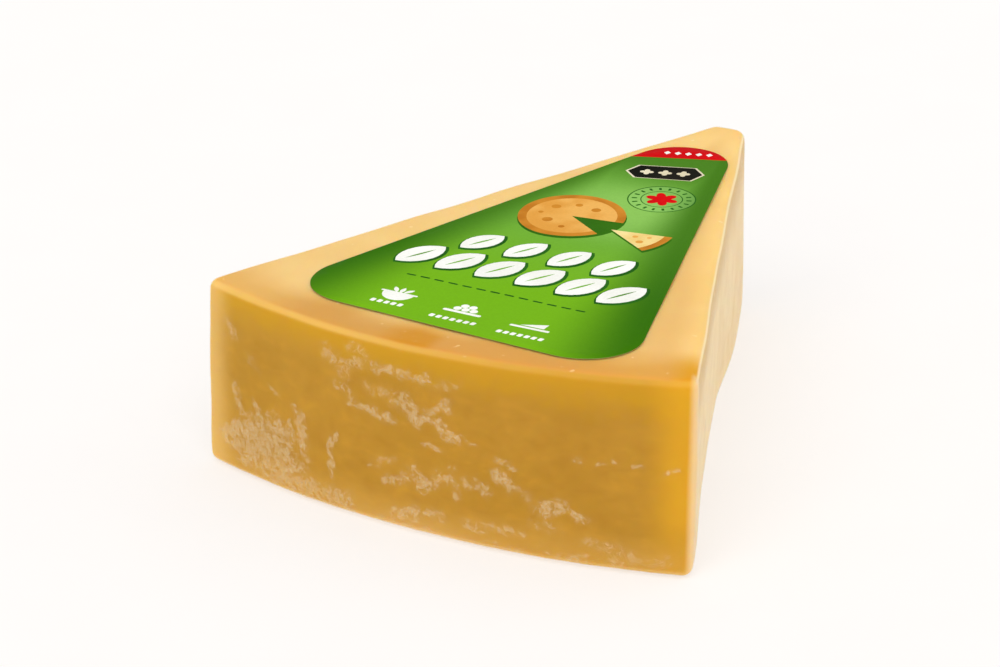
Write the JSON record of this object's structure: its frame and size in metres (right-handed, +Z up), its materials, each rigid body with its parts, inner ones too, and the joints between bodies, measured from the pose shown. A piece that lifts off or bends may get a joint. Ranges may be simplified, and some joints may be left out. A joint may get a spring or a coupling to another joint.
{
  "type": "wedge of italian-style hard cheese in clear film",
  "caption": "Low wedge of ochre hard cheese cut from a round wheel, shrunk tight in clear film, with a rounded triangular green sticker on top.",
  "frame": {"origin": "on the table, below the middle of the whole piece", "axes": "+Z up, -Y out of the rind, +Y towards the thin end"},
  "size_m": [0.096, 0.1196, 0.0378],
  "materials": {
    "cheese_in_film": "clear glossy film tight over ochre rind and pale paste",
    "sticker": "glossy print, green with a red cap, an amber and cream picture and white shapes"
  },
  "bodies": {
    "root": {"cheese_wedge": "cheese_in_film", "label": "sticker"}
  },
  "joints": []
}
